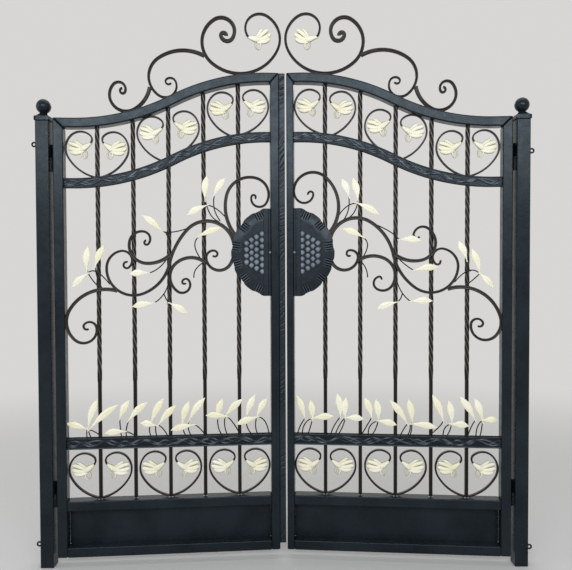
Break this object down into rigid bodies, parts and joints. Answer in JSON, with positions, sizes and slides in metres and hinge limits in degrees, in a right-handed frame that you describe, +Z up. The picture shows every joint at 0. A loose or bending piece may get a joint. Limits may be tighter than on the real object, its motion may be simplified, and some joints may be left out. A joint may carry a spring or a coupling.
{
  "type": "double-leaf driveway gate",
  "caption": "Double-leaf wrought iron driveway gate with capped posts, crowned top rails, twisted bars, forged scrollwork, leaves and a centre rosette.",
  "frame": {"origin": "centre of the left post foot, on the ground", "axes": "+X towards the right post as seen from the front, +Y inward, the way the leaves open, +Z up"},
  "size_m": [2.052, 0.1479, 2.2882],
  "materials": {
    "frame_paint": "gloss",
    "scroll_paint": "satin",
    "gold_paint": "satin",
    "hinge_steel": "satin"
  },
  "bodies": {
    "posts": {"anchor_eyes_left": "frame_paint", "anchor_eyes_right": "frame_paint", "hinge_pins_left": "hinge_steel", "hinge_pins_right": "hinge_steel", "post_cap_left": "frame_paint", "post_cap_right": "frame_paint", "post_left": "frame_paint", "post_right": "frame_paint"},
    "leaf_left": {"bars_left": "frame_paint", "cover_strip": "frame_paint", "crest_left": "scroll_paint", "hinge_barrels_left": "hinge_steel", "hinge_stile_left": "frame_paint", "kick_panel_left": "frame_paint", "lock_stile_left": "frame_paint", "lower_band_left": "frame_paint", "lower_hearts_left": "scroll_paint", "lower_rails_left": "frame_paint", "rosette_left": "frame_paint", "scroll_leaves_left": "gold_paint", "sprig_leaves_left": "gold_paint", "sprig_stems_left": "scroll_paint", "top_rail_left": "frame_paint", "upper_band_left": "frame_paint", "upper_hearts_left": "scroll_paint", "vine_leaves_left": "gold_paint", "vine_scrolls_left": "scroll_paint"},
    "leaf_right": {"bars_right": "frame_paint", "crest_right": "scroll_paint", "hinge_barrels_right": "hinge_steel", "hinge_stile_right": "frame_paint", "kick_panel_right": "frame_paint", "lock_stile_right": "frame_paint", "lower_band_right": "frame_paint", "lower_hearts_right": "scroll_paint", "lower_rails_right": "frame_paint", "rosette_right": "frame_paint", "scroll_leaves_right": "gold_paint", "sprig_leaves_right": "gold_paint", "sprig_stems_right": "scroll_paint", "top_rail_right": "frame_paint", "upper_band_right": "frame_paint", "upper_hearts_right": "scroll_paint", "vine_leaves_right": "gold_paint", "vine_scrolls_right": "scroll_paint"}
  },
  "joints": [
    {"name": "left_leaf_hinge", "type": "hinge", "parent": "posts", "child": "leaf_left", "pos_m": [0.032, 0.042, 0.93], "axis": [0, 0, 1], "range_deg": [-5.2, 84.8]},
    {"name": "right_leaf_hinge", "type": "hinge", "parent": "posts", "child": "leaf_right", "pos_m": [1.914, 0.042, 0.93], "axis": [0, 0, -1], "range_deg": [-5.2, 84.8]}
  ]
}
